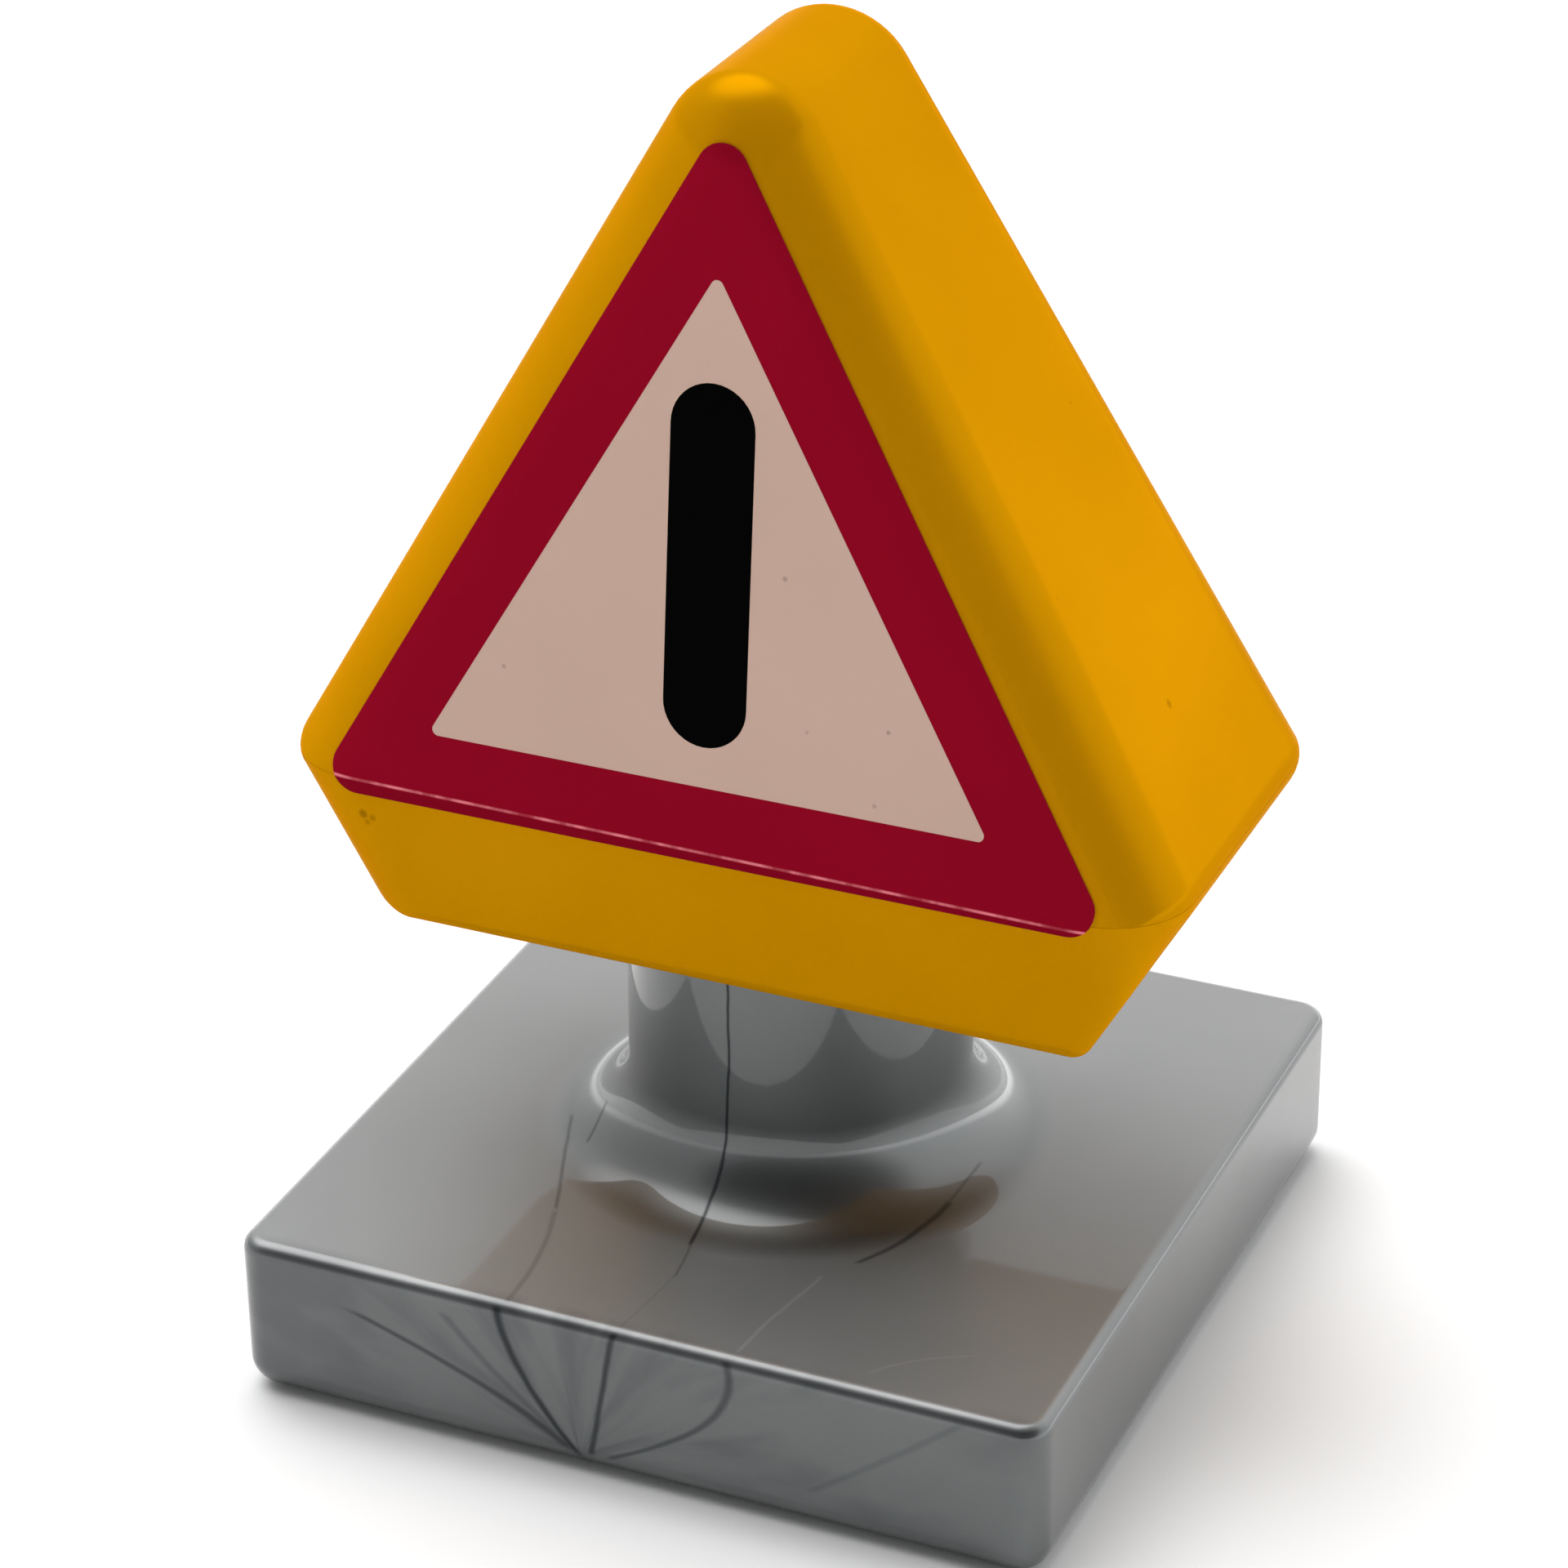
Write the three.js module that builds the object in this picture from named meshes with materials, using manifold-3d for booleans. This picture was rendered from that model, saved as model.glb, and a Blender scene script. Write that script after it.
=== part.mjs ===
// A small moulded toy road sign: a square pearl-grey base with its post in one moulding,
// and a thick yellow triangular head that turns on the post and carries a printed warning triangle.
// Millimetres, +Z up, origin at the middle of the underside. The printed face looks along -Y.

import * as THREE from 'three';
import { mergeVertices } from 'three/addons/utils/BufferGeometryUtils.js';
import Module from 'manifold-3d';

const wasm = await Module();
wasm.setup();

const DEG = Math.PI / 180;
const CLEARANCE = 0.3; // between pieces that touch or turn on each other

// Base plate
const BASE_SIDE = 40;
const BASE_HEIGHT = 8.2;
const BASE_CORNER_R = 1.4;
const BASE_TOP_EDGE_R = 0.4;
const BASE_BOTTOM_EDGE_R = 1.6;
const BASE_WALL = 2.6;
const BASE_ROOF = 2.2;
const COVER_THICKNESS = 1.6;

// Post
const FLARE_R = 4.4; // hollow round that runs from the post out to the plate
const POST_FOOT_R = 8.2;
const POST_TOP_R = 8.1;
const POST_BORE_R = 5.8;
const POST_ROOF = 2;
const SPIGOT_R = 4.2;
const SPIGOT_HEIGHT = 5.2;

// Head: a triangular wedge, widest and thickest at its seam, with its two lower corners cut back
const SEAM_Z = 28.3;
const HEAD_BOTTOM_Z = 21.2;
const HEAD_HALF_WIDTH = 22; // where the side and the lower cut would meet, unrounded
const HEAD_HALF_DEPTH = 10.8;
const SIDE_ANGLE = 30 * DEG; // of the sides and of the lower cuts, from vertical
const FACE_LEAN = 6.6 * DEG; // of the front and back faces above the seam
const FACE_EDGE_R = 4;
const BOTTOM_EDGE_R = 1;
const APEX_R = 3.9;
const CORNER_R = 1.6;
const BOTTOM_CORNER_R = 1;
const HEAD_WALL = 1.8;
const LIP_HEIGHT = 1.4;
const LIP_WALL = 1.2;

// Bearing inside the head
const SHOULDER_DEPTH = 3; // of the post's shoulder below the seam
const CUP_WALL = 1.8;
const CUP_ROOF = 2;
const RING_R = 7.4;
const RING_THICKNESS = 1.6;
const RING_FIT = 0.03; // beyond the spigot's radius

// Printed label on the front face
const LABEL_SIDE = 38.3;
const LABEL_CORNER_R = 1.3;
const LABEL_THICKNESS = 0.25;
const LABEL_GAP = 0.05;
const LABEL_RISE = 0.2; // of its lower edge above the seam, along the face

// Facets
const ARC_STEPS = 5;
const EDGE_STEPS = 5;
const FLARE_STEPS = 10;
const ROUND_SEGMENTS = 56;
const SMALLEST_R = 0.05;
const CUT_PAST = 1; // how far a cutting tool runs beyond the piece that it cuts
const BEYOND = 100; // farther than the sign reaches to any side

// Colours
const PEARL = { color: 0x8f8f8c, roughness: 0.28, metalness: 0.35 };
const YELLOW = { color: 0xe8a000, roughness: 0.3, metalness: 0 };
const WHITE_PLASTIC = { color: 0xd9d6cf, roughness: 0.5, metalness: 0 };
const RED = { color: 0x8c0b22, roughness: 0.25, metalness: 0 };

const SHOULDER_Z = SEAM_Z - SHOULDER_DEPTH;
const CUP_R = POST_TOP_R + CLEARANCE;

// ---------- solids ----------

function asSolid(geometry) {
  const bare = geometry.clone();
  bare.deleteAttribute('normal');
  bare.deleteAttribute('uv');
  const merged = mergeVertices(bare, 1e-5);
  const vertProperties = new Float32Array(merged.attributes.position.array);
  const triVerts = new Uint32Array(merged.index.array);
  return new wasm.Manifold(new wasm.Mesh({ numProp: 3, vertProperties, triVerts }));
}

function asGeometry(solid) {
  const mesh = solid.getMesh();
  const geometry = new THREE.BufferGeometry();
  geometry.setAttribute('position', new THREE.BufferAttribute(new Float32Array(mesh.vertProperties), 3));
  geometry.setIndex(new THREE.BufferAttribute(new Uint32Array(mesh.triVerts), 1));
  geometry.computeVertexNormals();
  return geometry;
}

function box(width, depth, low, high) {
  const geometry = new THREE.BoxGeometry(width, depth, high - low);
  return asSolid(geometry.translate(0, 0, (low + high) / 2));
}

// A solid of revolution about Z. The profile is a list of [radius, z] and closes on itself.
function turned(profile) {
  const points = profile.map(([radius, z]) => new THREE.Vector2(radius, z));
  points.push(points[0].clone());
  const geometry = new THREE.LatheGeometry(points, ROUND_SEGMENTS);
  return asSolid(geometry.rotateX(Math.PI / 2));
}

function cylinder(radius, low, high) {
  const geometry = new THREE.CylinderGeometry(radius, radius, high - low, ROUND_SEGMENTS);
  return asSolid(geometry.rotateX(Math.PI / 2).translate(0, 0, (low + high) / 2));
}

// Points of an arc in a plane, both ends included.
function arc(centreA, centreB, radius, from, to, steps) {
  const points = [];
  for (let i = 0; i <= steps; i += 1) {
    const angle = from + ((to - from) * i) / steps;
    points.push([centreA + radius * Math.cos(angle), centreB + radius * Math.sin(angle)]);
  }
  return points;
}

// An outline with straight sides, each moved in by its own inset, and with its corners rounded.
// Corners run anticlockwise, and side i runs from corner i to the next.
function roundedOutline(corners, insets) {
  const count = corners.length;
  const sides = corners.map((corner, i) => {
    const next = corners[(i + 1) % count];
    const along = new THREE.Vector2(next.x - corner.x, next.y - corner.y).normalize();
    const normal = new THREE.Vector2(along.y, -along.x);
    return { normal, offset: normal.x * corner.x + normal.y * corner.y - insets[i] };
  });
  const points = [];
  corners.forEach((corner, i) => {
    const before = sides[(i + count - 1) % count];
    const after = sides[i];
    const inset = Math.min(insets[(i + count - 1) % count], insets[i]);
    const radius = Math.max(corner.radius - inset, SMALLEST_R);
    const det = before.normal.x * after.normal.y - before.normal.y * after.normal.x;
    const a = before.offset - radius;
    const b = after.offset - radius;
    const centreX = (a * after.normal.y - b * before.normal.y) / det;
    const centreY = (b * before.normal.x - a * after.normal.x) / det;
    const from = Math.atan2(before.normal.y, before.normal.x);
    let to = Math.atan2(after.normal.y, after.normal.x);
    if (to < from) {
      to += 2 * Math.PI;
    }
    points.push(...arc(centreX, centreY, radius, from, to, ARC_STEPS));
  });
  return points;
}

// A closed skin through rings of equal length, each a list of Vector3, with a flat cap at both ends.
function loft(rings) {
  const size = rings[0].length;
  const positions = rings.flat().flatMap((point) => [point.x, point.y, point.z]);
  const index = [];
  for (let r = 0; r + 1 < rings.length; r += 1) {
    for (let i = 0; i < size; i += 1) {
      const j = (i + 1) % size;
      const low = r * size;
      const high = low + size;
      index.push(low + i, low + j, high + j, low + i, high + j, high + i);
    }
  }
  const last = (rings.length - 1) * size;
  for (let i = 1; i + 1 < size; i += 1) {
    index.push(0, i + 1, i);
    index.push(last, last + i, last + i + 1);
  }
  const geometry = new THREE.BufferGeometry();
  geometry.setAttribute('position', new THREE.Float32BufferAttribute(positions, 3));
  geometry.setIndex(index);
  return asSolid(geometry);
}

// ---------- base ----------

function baseRings() {
  const half = BASE_SIDE / 2;
  const square = [[-half, -half], [half, -half], [half, half], [-half, half]];
  const corners = square.map(([x, y]) => ({ x, y, radius: BASE_CORNER_R }));
  const lower = arc(-BASE_BOTTOM_EDGE_R, BASE_BOTTOM_EDGE_R, BASE_BOTTOM_EDGE_R, -90 * DEG, 0, EDGE_STEPS);
  const topCentre = BASE_HEIGHT - BASE_TOP_EDGE_R;
  const upper = arc(-BASE_TOP_EDGE_R, topCentre, BASE_TOP_EDGE_R, 0, 90 * DEG, EDGE_STEPS);
  return [...lower, ...upper].map(([out, z]) => (
    roundedOutline(corners, Array(4).fill(-out)).map(([x, y]) => new THREE.Vector3(x, y, z))
  ));
}

// The post on its flared foot, with a root that reaches into the plate.
function postAndFlare() {
  const root = BASE_HEIGHT - BASE_TOP_EDGE_R;
  const outer = POST_FOOT_R + FLARE_R;
  return turned([
    [0, root],
    [outer, root],
    ...arc(outer, BASE_HEIGHT + FLARE_R, FLARE_R, 270 * DEG, 180 * DEG, FLARE_STEPS),
    [POST_TOP_R, HEAD_BOTTOM_Z],
    [POST_TOP_R, SHOULDER_Z],
    [SPIGOT_R, SHOULDER_Z],
    [SPIGOT_R, SHOULDER_Z + SPIGOT_HEIGHT],
    [0, SHOULDER_Z + SPIGOT_HEIGHT],
  ]);
}

function baseAndPost() {
  const inner = BASE_SIDE - 2 * BASE_WALL;
  const hollow = box(inner, inner, -CUT_PAST, BASE_HEIGHT - BASE_ROOF);
  const bore = cylinder(POST_BORE_R, 0, SHOULDER_Z - POST_ROOF);
  return loft(baseRings()).add(postAndFlare()).subtract(hollow).subtract(bore);
}

function baseCover() {
  const side = BASE_SIDE - 2 * BASE_WALL - 2 * CLEARANCE;
  return box(side, side, 0, COVER_THICKNESS);
}

// ---------- head ----------

// Front view of the head as corners in X and Z, from the lower left, anticlockwise.
function headCorners() {
  const slope = Math.tan(SIDE_ANGLE);
  const bottomHalf = HEAD_HALF_WIDTH - (SEAM_Z - HEAD_BOTTOM_Z) * slope;
  const apexZ = SEAM_Z + HEAD_HALF_WIDTH / slope;
  return [
    { x: -bottomHalf, y: HEAD_BOTTOM_Z, radius: BOTTOM_CORNER_R },
    { x: bottomHalf, y: HEAD_BOTTOM_Z, radius: BOTTOM_CORNER_R },
    { x: HEAD_HALF_WIDTH, y: SEAM_Z, radius: CORNER_R },
    { x: 0, y: apexZ, radius: APEX_R },
    { x: -HEAD_HALF_WIDTH, y: SEAM_Z, radius: CORNER_R },
  ];
}

// How far a rounded edge has pulled a side in, at a distance from the middle plane.
function edgeInset(distance, depth, radius) {
  const past = Math.max(distance - (depth - radius), 0);
  return radius - Math.sqrt(Math.max(radius * radius - past * past, 0));
}

// The head's body, or a smaller copy of it inside its wall, as one outline for each step from back to
// front. The bottom has a small round edge and the other four sides have wide ones. With a lean the
// body thins upwards from the seam.
function headBody(wall, lean) {
  const depth = HEAD_HALF_DEPTH - wall;
  const wideR = FACE_EDGE_R - wall;
  const smallR = Math.max(BOTTOM_EDGE_R - wall, SMALLEST_R);
  const wide = arc(0, depth - wideR, wideR, 0, 90 * DEG, EDGE_STEPS).map((point) => point[1]);
  const small = arc(0, depth - smallR, smallR, 30 * DEG, 60 * DEG, 1).map((point) => point[1]);
  const half = [...wide, ...small].sort((first, second) => first - second);
  const distances = [...[...half].reverse(), ...half.map((distance) => -distance)];
  return loft(distances.map((y) => {
    const side = wall + edgeInset(Math.abs(y), depth, wideR);
    const bottom = wall + edgeInset(Math.abs(y), depth, smallR);
    const outline = roundedOutline(headCorners(), [bottom, side, side, side, side]);
    return outline.map(([x, z]) => {
      const thinning = (z - SEAM_Z) * Math.tan(lean);
      return new THREE.Vector3(x, (y * (depth - thinning)) / depth, z);
    });
  }));
}

function everythingBetween(low, high) {
  return box(BEYOND, BEYOND, low, high);
}

// The upper half of the head, a hood that is open at the seam.
function signHood() {
  const shell = headBody(0, FACE_LEAN).subtract(headBody(HEAD_WALL, FACE_LEAN));
  return shell.intersect(everythingBetween(SEAM_Z + CLEARANCE / 2, BEYOND));
}

// A thin wall inside the hood's foot that sets the two halves on each other.
function locatingLip() {
  const gap = HEAD_WALL + CLEARANCE;
  const wall = headBody(gap, FACE_LEAN).subtract(headBody(gap + LIP_WALL, FACE_LEAN));
  return wall.intersect(everythingBetween(SEAM_Z - LIP_HEIGHT, SEAM_Z + LIP_HEIGHT));
}

// The lower half of the head, a dish with the cup that turns on the post's shoulder.
function signTray() {
  const cupTop = SHOULDER_Z + CLEARANCE + CUP_ROOF;
  const shell = headBody(0, 0).subtract(headBody(HEAD_WALL, 0));
  const dish = shell.intersect(everythingBetween(0, SEAM_Z - CLEARANCE / 2));
  const cup = cylinder(CUP_R + CUP_WALL, HEAD_BOTTOM_Z + HEAD_WALL / 2, cupTop);
  const postHole = cylinder(CUP_R, 0, SHOULDER_Z + CLEARANCE);
  const spigotHole = cylinder(SPIGOT_R + CLEARANCE, SHOULDER_Z, cupTop + CUT_PAST);
  return dish.add(locatingLip()).add(cup).subtract(postHole).subtract(spigotHole);
}

// Keeps the head from lifting off the spigot.
function retainingRing() {
  const low = SHOULDER_Z + 2 * CLEARANCE + CUP_ROOF;
  const ring = cylinder(RING_R, low, low + RING_THICKNESS);
  return ring.subtract(cylinder(SPIGOT_R + RING_FIT, low - CUT_PAST, low + RING_THICKNESS + CUT_PAST));
}

// ---------- label ----------

function frontLabel() {
  const height = LABEL_SIDE * Math.cos(SIDE_ANGLE);
  const corners = [
    { x: -LABEL_SIDE / 2, y: 0, radius: LABEL_CORNER_R },
    { x: LABEL_SIDE / 2, y: 0, radius: LABEL_CORNER_R },
    { x: 0, y: height, radius: LABEL_CORNER_R },
  ];
  const outline = roundedOutline(corners, [0, 0, 0]).map(([x, y]) => new THREE.Vector2(x, y));
  const settings = { depth: LABEL_THICKNESS, bevelEnabled: false, curveSegments: 1 };
  return new THREE.ExtrudeGeometry(new THREE.Shape(outline), settings);
}

function placeOnFace(mesh) {
  const y = -HEAD_HALF_DEPTH - LABEL_GAP * Math.cos(FACE_LEAN) + LABEL_RISE * Math.sin(FACE_LEAN);
  const z = SEAM_Z + LABEL_GAP * Math.sin(FACE_LEAN) + LABEL_RISE * Math.cos(FACE_LEAN);
  mesh.rotation.x = 90 * DEG - FACE_LEAN;
  mesh.position.set(0, y, z);
  return mesh;
}

// ---------- assembly ----------

function named(name, geometry, finish) {
  const mesh = new THREE.Mesh(geometry, new THREE.MeshStandardMaterial(finish));
  mesh.name = name;
  return mesh;
}

const base = new THREE.Group();
base.add(named('base_and_post', asGeometry(baseAndPost()), PEARL));
base.add(named('base_cover', asGeometry(baseCover()), PEARL));
base.add(named('retaining_ring', asGeometry(retainingRing()), WHITE_PLASTIC));

const head = new THREE.Group();
head.add(named('sign_tray', asGeometry(signTray()), YELLOW));
head.add(named('sign_hood', asGeometry(signHood()), YELLOW));
head.add(placeOnFace(named('front_label', frontLabel(), RED)));

const sign = new THREE.Group();
sign.add(base, head);

export default sign;
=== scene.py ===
import math

import bmesh
import bpy
from mathutils import Matrix, Vector


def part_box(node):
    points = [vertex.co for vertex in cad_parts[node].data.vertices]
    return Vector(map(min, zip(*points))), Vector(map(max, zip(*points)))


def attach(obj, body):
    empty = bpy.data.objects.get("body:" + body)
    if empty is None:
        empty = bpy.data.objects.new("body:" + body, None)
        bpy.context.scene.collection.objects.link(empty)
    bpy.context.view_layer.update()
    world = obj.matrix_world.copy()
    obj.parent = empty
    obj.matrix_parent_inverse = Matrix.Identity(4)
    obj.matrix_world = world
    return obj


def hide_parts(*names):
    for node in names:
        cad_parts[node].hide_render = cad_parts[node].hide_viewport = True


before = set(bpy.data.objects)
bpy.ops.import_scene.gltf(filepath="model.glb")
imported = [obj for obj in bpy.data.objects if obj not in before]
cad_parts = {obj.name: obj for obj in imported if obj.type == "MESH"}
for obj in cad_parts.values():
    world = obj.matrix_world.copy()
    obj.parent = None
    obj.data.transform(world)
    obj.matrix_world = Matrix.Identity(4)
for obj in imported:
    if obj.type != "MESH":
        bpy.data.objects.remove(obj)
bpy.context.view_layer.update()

# A small moulded toy road sign: pearl-grey base with its post, and a yellow triangular head
# with a printed warning triangle. Metres, +Z up, the printed face looks along -Y.

MM = 0.001

# ---------- dimensions ----------

BASE_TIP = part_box("base_and_post")[1]
TRAY_LOW, TRAY_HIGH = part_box("sign_tray")
HOOD_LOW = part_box("sign_hood")[0]
RING_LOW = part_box("retaining_ring")[0]

# Base plate
BASE_HALF = BASE_TIP.x
BASE_HEIGHT = 8.2 * MM
BASE_CORNER_R = 1.4 * MM
BASE_TOP_EDGE_R = 0.7 * MM
BASE_BOTTOM_EDGE_R = 1.6 * MM
BASE_WALL = 2.6 * MM
BASE_ROOF = 2.2 * MM

# Post, on a flared foot
FLARE_R = 4.4 * MM
POST_FOOT_R = 8.2 * MM
POST_TOP_R = 8.1 * MM
POST_BORE_R = 5.8 * MM
POST_ROOF = 2 * MM
SPIGOT_R = 4.2 * MM
SPIGOT_HEIGHT = 5.2 * MM
SPIGOT_CHAMFER = 0.3 * MM
SHOULDER_Z = BASE_TIP.z - SPIGOT_HEIGHT

# Head
CLEARANCE = 0.3 * MM
SEAM_Z = HOOD_LOW.z - CLEARANCE / 2
SEAM_GAP = 0.008 * MM  # from the seam to each half
HEAD_BOTTOM_Z = TRAY_LOW.z
HEAD_HALF_WIDTH = 22 * MM
HEAD_HALF_DEPTH = TRAY_HIGH.y
SIDE_ANGLE = math.radians(30)
FACE_LEAN = math.radians(6.6)
FACE_EDGE_R = 4 * MM
BOTTOM_EDGE_R = 1 * MM
APEX_R = 3.9 * MM
CORNER_R = 1.6 * MM
BOTTOM_CORNER_R = 1 * MM
HEAD_WALL = 1.8 * MM
SMALLEST_R = 0.05 * MM
TRAY_RIGHT_EDGE_R = 1 * MM  # of the lower right cut's front edge
EDGE_FADE = 2.5 * MM  # height over which that edge grows sharp below the label
CUP_R = POST_TOP_R + CLEARANCE
CUP_WALL = 1.8 * MM
CUP_TOP = RING_LOW.z - CLEARANCE

# Label, measured up the leaning face from the seam
LABEL_WIDTH = 38.7 * MM
LABEL_HEIGHT = 33.86 * MM
LABEL_CORNER_R = 1.2 * MM
LABEL_APEX_R = 1.2 * MM
LABEL_LOW = -0.62 * MM
LABEL_BACK = 0.01 * MM  # its back and front, out from the face
LABEL_FRONT = 0.09 * MM
FOLD_HALF = 0.15 * MM  # of the fold over the seam, up and down from it
FOLD_HIGHLIGHT_LINE = 0.1 * MM  # depth below the seam of the pale line, a painted highlight on the fold
FOLD_SHADE = 0.25 * MM  # depth below the seam at which the painted shade on the film is at its darkest
FOLD_TILT = 0.011  # fall of the painted highlight and painted shade on the fold, towards +X
FIELD_SIDE = 27.1 * MM
FIELD_CORNER_R = 0.3 * MM
FIELD_RISE = 3 * MM
BAR_R = 2 * MM
BAR_LOW = 4.9 * MM
BAR_HIGH = 21.6 * MM

# ---------- outlines ----------


def arc(centre_a, centre_b, radius, start, end, steps):
    """Points of an arc in a plane, both ends included."""
    angles = [start + (end - start) * i / steps for i in range(steps + 1)]
    return [(centre_a + radius * math.cos(t), centre_b + radius * math.sin(t)) for t in angles]


def rounded_outline(corners, insets, steps):
    """An anticlockwise outline of (x, y, radius) corners, each side moved in by its own inset."""
    count = len(corners)
    sides = []
    for i, (x, y, _) in enumerate(corners):
        next_x, next_y, _ = corners[(i + 1) % count]
        length = math.hypot(next_x - x, next_y - y)
        normal = ((next_y - y) / length, -(next_x - x) / length)
        sides.append((normal, normal[0] * x + normal[1] * y - insets[i]))
    points = []
    for i, (_, _, radius) in enumerate(corners):
        (before, before_offset), (after, after_offset) = sides[i - 1], sides[i]
        kept = max(radius - min(insets[i - 1], insets[i]), SMALLEST_R)
        det = before[0] * after[1] - before[1] * after[0]
        a = before_offset - kept
        b = after_offset - kept
        centre = ((a * after[1] - b * before[1]) / det, (b * before[0] - a * after[0]) / det)
        start = math.atan2(before[1], before[0])
        end = math.atan2(after[1], after[0])
        if end < start:
            end += 2 * math.pi
        points += arc(*centre, kept, start, end, steps)
    return points


def edge_inset(distance, depth, radius):
    """How far a rounded edge has pulled a side in, at a distance from the middle plane."""
    past = max(distance - (depth - radius), 0)
    return radius - math.sqrt(max(radius * radius - past * past, 0))


# ---------- meshes ----------

ROUND_SEGMENTS = 128
SHARP_ANGLE = math.radians(35)
DOUBLED = 0.002 * MM  # apart, for points that are one
SLIVER = 0.001 * MM  # wide, for faces without area


def new_object(name, verts, faces):
    mesh = bpy.data.meshes.new(name)
    mesh.from_pydata(verts, [], faces)
    mesh.validate()
    made = bmesh.new()
    made.from_mesh(mesh)
    bmesh.ops.recalc_face_normals(made, faces=made.faces)
    made.to_mesh(mesh)
    made.free()
    piece = bpy.data.objects.new(name, mesh)
    bpy.context.scene.collection.objects.link(piece)
    return piece


def ring_mesh(name, rings):
    """A closed skin through rings of equal length, with a flat cap at both ends."""
    size = len(rings[0])
    verts = [point for ring in rings for point in ring]
    faces = []
    for r in range(len(rings) - 1):
        for i in range(size):
            j = (i + 1) % size
            low, high = r * size, (r + 1) * size
            faces.append((low + i, low + j, high + j, high + i))
    last = (len(rings) - 1) * size
    faces.append(tuple(range(size)))
    faces.append(tuple(range(last, last + size)))
    return new_object(name, verts, faces)


def shade(piece):
    """Smooth shading that keeps flat faces flat and edges past the angle sharp."""
    for face in piece.data.polygons:
        face.use_smooth = True
    piece.data.set_sharp_from_angle(angle=SHARP_ANGLE)
    weighted = piece.modifiers.new("weighted", "WEIGHTED_NORMAL")
    weighted.weight = 100
    weighted.keep_sharp = True
    apply_modifiers(piece)
    return piece


def apply_modifiers(piece):
    bpy.context.view_layer.update()
    graph = bpy.context.evaluated_depsgraph_get()
    mesh = bpy.data.meshes.new_from_object(piece.evaluated_get(graph))
    piece.modifiers.clear()
    piece.data = mesh


def boolean(piece, tool, operation):
    """Cuts or joins with another closed mesh, which is then removed."""
    step = piece.modifiers.new(operation.lower(), "BOOLEAN")
    step.operation = operation
    step.solver = "EXACT"
    step.object = tool
    apply_modifiers(piece)
    bpy.data.objects.remove(tool)


def turned(name, profile):
    """A closed solid of revolution about Z from a profile of (radius, z), none on the axis."""
    turns = [2 * math.pi * i / ROUND_SEGMENTS for i in range(ROUND_SEGMENTS)]
    rings = [[(r * math.cos(t), r * math.sin(t), z) for t in turns] for r, z in profile]
    return ring_mesh(name, rings)


# ---------- base moulding ----------

PLATE_CORNER_STEPS = 10
PLATE_SIDE_STEPS = 44
PLATE_TOP_EDGE_STEPS = 8
PLATE_BOTTOM_EDGE_STEPS = 14
FLARE_STEPS = 40
PLATE_TOP_BANDS = (0.2, 0.4, 0.6, 0.8)  # rings of faces from the flare's foot out to the plate's rim


def plate_outline(inset):
    """The plate's rounded square, with its straight sides divided evenly."""
    half = BASE_HALF
    radius = BASE_CORNER_R
    corners = [(-half, -half, radius), (half, -half, radius), (half, half, radius), (-half, half, radius)]
    bends = rounded_outline(corners, [inset] * 4, PLATE_CORNER_STEPS)
    per_corner = PLATE_CORNER_STEPS + 1
    points = []
    for c in range(4):
        points += bends[c * per_corner:(c + 1) * per_corner]
        start = Vector(points[-1])
        end = Vector(bends[((c + 1) * per_corner) % len(bends)])
        points += [tuple(start.lerp(end, i / PLATE_SIDE_STEPS)) for i in range(1, PLATE_SIDE_STEPS)]
    return points


def base_moulding():
    plan = plate_outline(0)
    turns = [math.atan2(y, x) for x, y in plan]

    def circle(radius, z):
        return [(radius * math.cos(t), radius * math.sin(t), z) for t in turns]

    def square(inset, z):
        return [(x, y, z) for x, y in plate_outline(inset)]

    def between(first, second, share):
        return [tuple(Vector(a).lerp(Vector(b), share)) for a, b in zip(first, second)]

    foot_r = POST_FOOT_R + FLARE_R
    profile = [
        (SPIGOT_R - SPIGOT_CHAMFER, BASE_TIP.z),
        (SPIGOT_R, BASE_TIP.z - SPIGOT_CHAMFER),
        (SPIGOT_R, SHOULDER_Z),
        (POST_TOP_R, SHOULDER_Z),
        (POST_TOP_R, HEAD_BOTTOM_Z),
        *arc(foot_r, BASE_HEIGHT + FLARE_R, FLARE_R, math.pi, 1.5 * math.pi, FLARE_STEPS),
    ]
    rings = [circle(r, z) for r, z in profile]
    rim = square(BASE_TOP_EDGE_R, BASE_HEIGHT)
    foot = rings[-1]
    rings += [between(foot, rim, share) for share in PLATE_TOP_BANDS]
    edge = BASE_TOP_EDGE_R
    top = arc(edge, BASE_HEIGHT - edge, edge, math.pi / 2, math.pi, PLATE_TOP_EDGE_STEPS)
    rings += [square(inset, z) for inset, z in top]
    edge = BASE_BOTTOM_EDGE_R
    low = arc(edge, edge, edge, math.pi, 1.5 * math.pi, PLATE_BOTTOM_EDGE_STEPS)
    rings += [square(inset, z) for inset, z in low]
    roof = BASE_HEIGHT - BASE_ROOF
    rings += [square(BASE_WALL, 0), square(BASE_WALL, roof)]
    rings += [circle(POST_BORE_R, roof), circle(POST_BORE_R, SHOULDER_Z - POST_ROOF)]
    return shade(ring_mesh("base_moulding", rings))


# ---------- head ----------

HEAD_CORNER_STEPS = 18
HEAD_EDGE_STEPS = 16
CUT_STEPS = 12
SMALL_EDGE_STEPS = 4
SMALL_EDGE_START = math.radians(15)
SMALL_EDGE_END = math.radians(75)


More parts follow.
